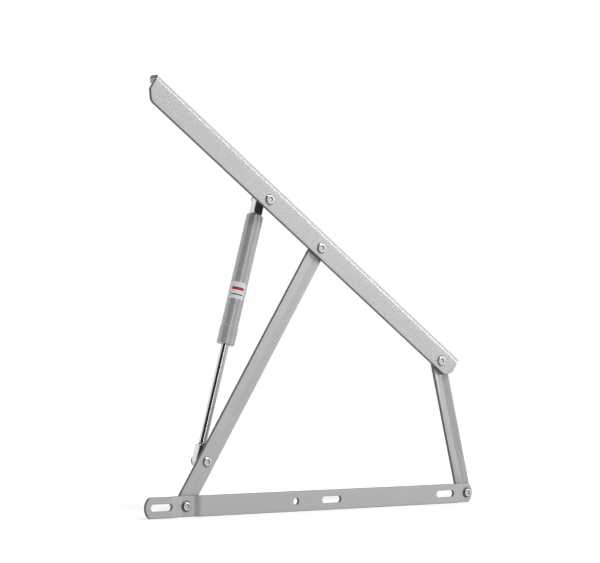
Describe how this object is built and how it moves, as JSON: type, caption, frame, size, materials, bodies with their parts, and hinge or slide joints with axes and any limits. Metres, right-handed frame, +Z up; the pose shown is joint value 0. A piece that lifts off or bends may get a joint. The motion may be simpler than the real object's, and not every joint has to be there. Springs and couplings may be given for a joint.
{
  "type": "bed lift mechanism",
  "caption": "One side of a storage-bed lift, standing open: a slotted base bar, a long and a short pressed arm, a tilting angle rail and a gas spring behind the long arm.",
  "frame": {"origin": "midway between the base bar's two end slots, on the face that lies against the side panel", "axes": "+X along the base bar towards the short arm, +Y from the side panel into the bed, +Z up"},
  "size_m": [0.5575, 0.0395, 0.5422],
  "materials": {
    "coated_steel": "grey powder coat, satin",
    "zinc": "bright zinc plate",
    "nylon": "plain",
    "rod_chrome": "polished",
    "spring_paint": "grey gloss paint",
    "guide_brass": "turned",
    "piston_metal": "turned",
    "seal_rubber": "moulded",
    "label_film": "blank white film"
  },
  "bodies": {
    "base": {"base_bar": "coated_steel", "base_rivet_long": "zinc", "base_rivet_short": "zinc", "head_washer_long": "zinc", "head_washer_short": "zinc", "base_washer_long": "nylon", "base_washer_short": "nylon"},
    "long_arm": {"long_arm": "coated_steel", "lower_spring_pin": "zinc", "lower_spring_spacer": "zinc", "rail_rivet_long_tail": "zinc"},
    "short_arm": {"short_arm": "coated_steel"},
    "top_rail": {"top_rail": "coated_steel", "rail_rivet_long": "zinc", "rail_washer_long": "nylon", "rail_rivet_short": "zinc", "rail_washer_short": "nylon", "upper_spring_pin": "zinc", "upper_spring_spacer": "zinc"},
    "spring_rod": {"piston_rod": "rod_chrome", "rod_eye": "zinc", "piston": "piston_metal", "piston_ring": "seal_rubber", "rod_nut": "zinc"},
    "spring_cylinder": {"cylinder_tube": "spring_paint", "cylinder_collar": "spring_paint", "rod_guide": "guide_brass", "rod_seal": "seal_rubber", "cylinder_end_plug": "spring_paint", "cylinder_eye": "zinc", "cylinder_label": "label_film", "upper_spring_pin_tail": "zinc"}
  },
  "joints": [
    {"name": "long_arm_hinge", "type": "hinge", "parent": "base", "child": "long_arm", "pos_m": [-0.197, 0.012, 0], "axis": [0, 1, 0], "range_deg": [0, 41.19], "stiffness_Nm_per_rad": 4, "springref_deg": -143.24},
    {"name": "short_arm_hinge", "type": "hinge", "parent": "base", "child": "short_arm", "pos_m": [0.283, 0.012, 0], "axis": [0, 1, 0], "range_deg": [0, 71.56]},
    {"name": "rail_hinge", "type": "hinge", "parent": "short_arm", "child": "top_rail", "pos_m": [0.23161, 0.012, 0.18084], "axis": [0, 1, 0], "range_deg": [-105.42, 0]},
    {"name": "lower_eye_hinge", "type": "hinge", "parent": "long_arm", "child": "spring_rod", "pos_m": [-0.16214, 0.028, 0.05368], "axis": [0, 1, 0], "range_deg": [0, 10.55]},
    {"name": "spring_slide", "type": "slide", "parent": "spring_rod", "child": "spring_cylinder", "axis": [0.2618, 0, 0.9651], "range_m": [-0.11724, 0]}
  ],
  "couplings": [
    {"joint": "short_arm_hinge", "follows": "long_arm_hinge", "ratio": 1.7371},
    {"joint": "rail_hinge", "follows": "long_arm_hinge", "ratio": -2.559},
    {"joint": "lower_eye_hinge", "follows": "long_arm_hinge", "ratio": 0.25598},
    {"joint": "spring_slide", "follows": "long_arm_hinge", "m_per_rad": -0.16307}
  ]
}
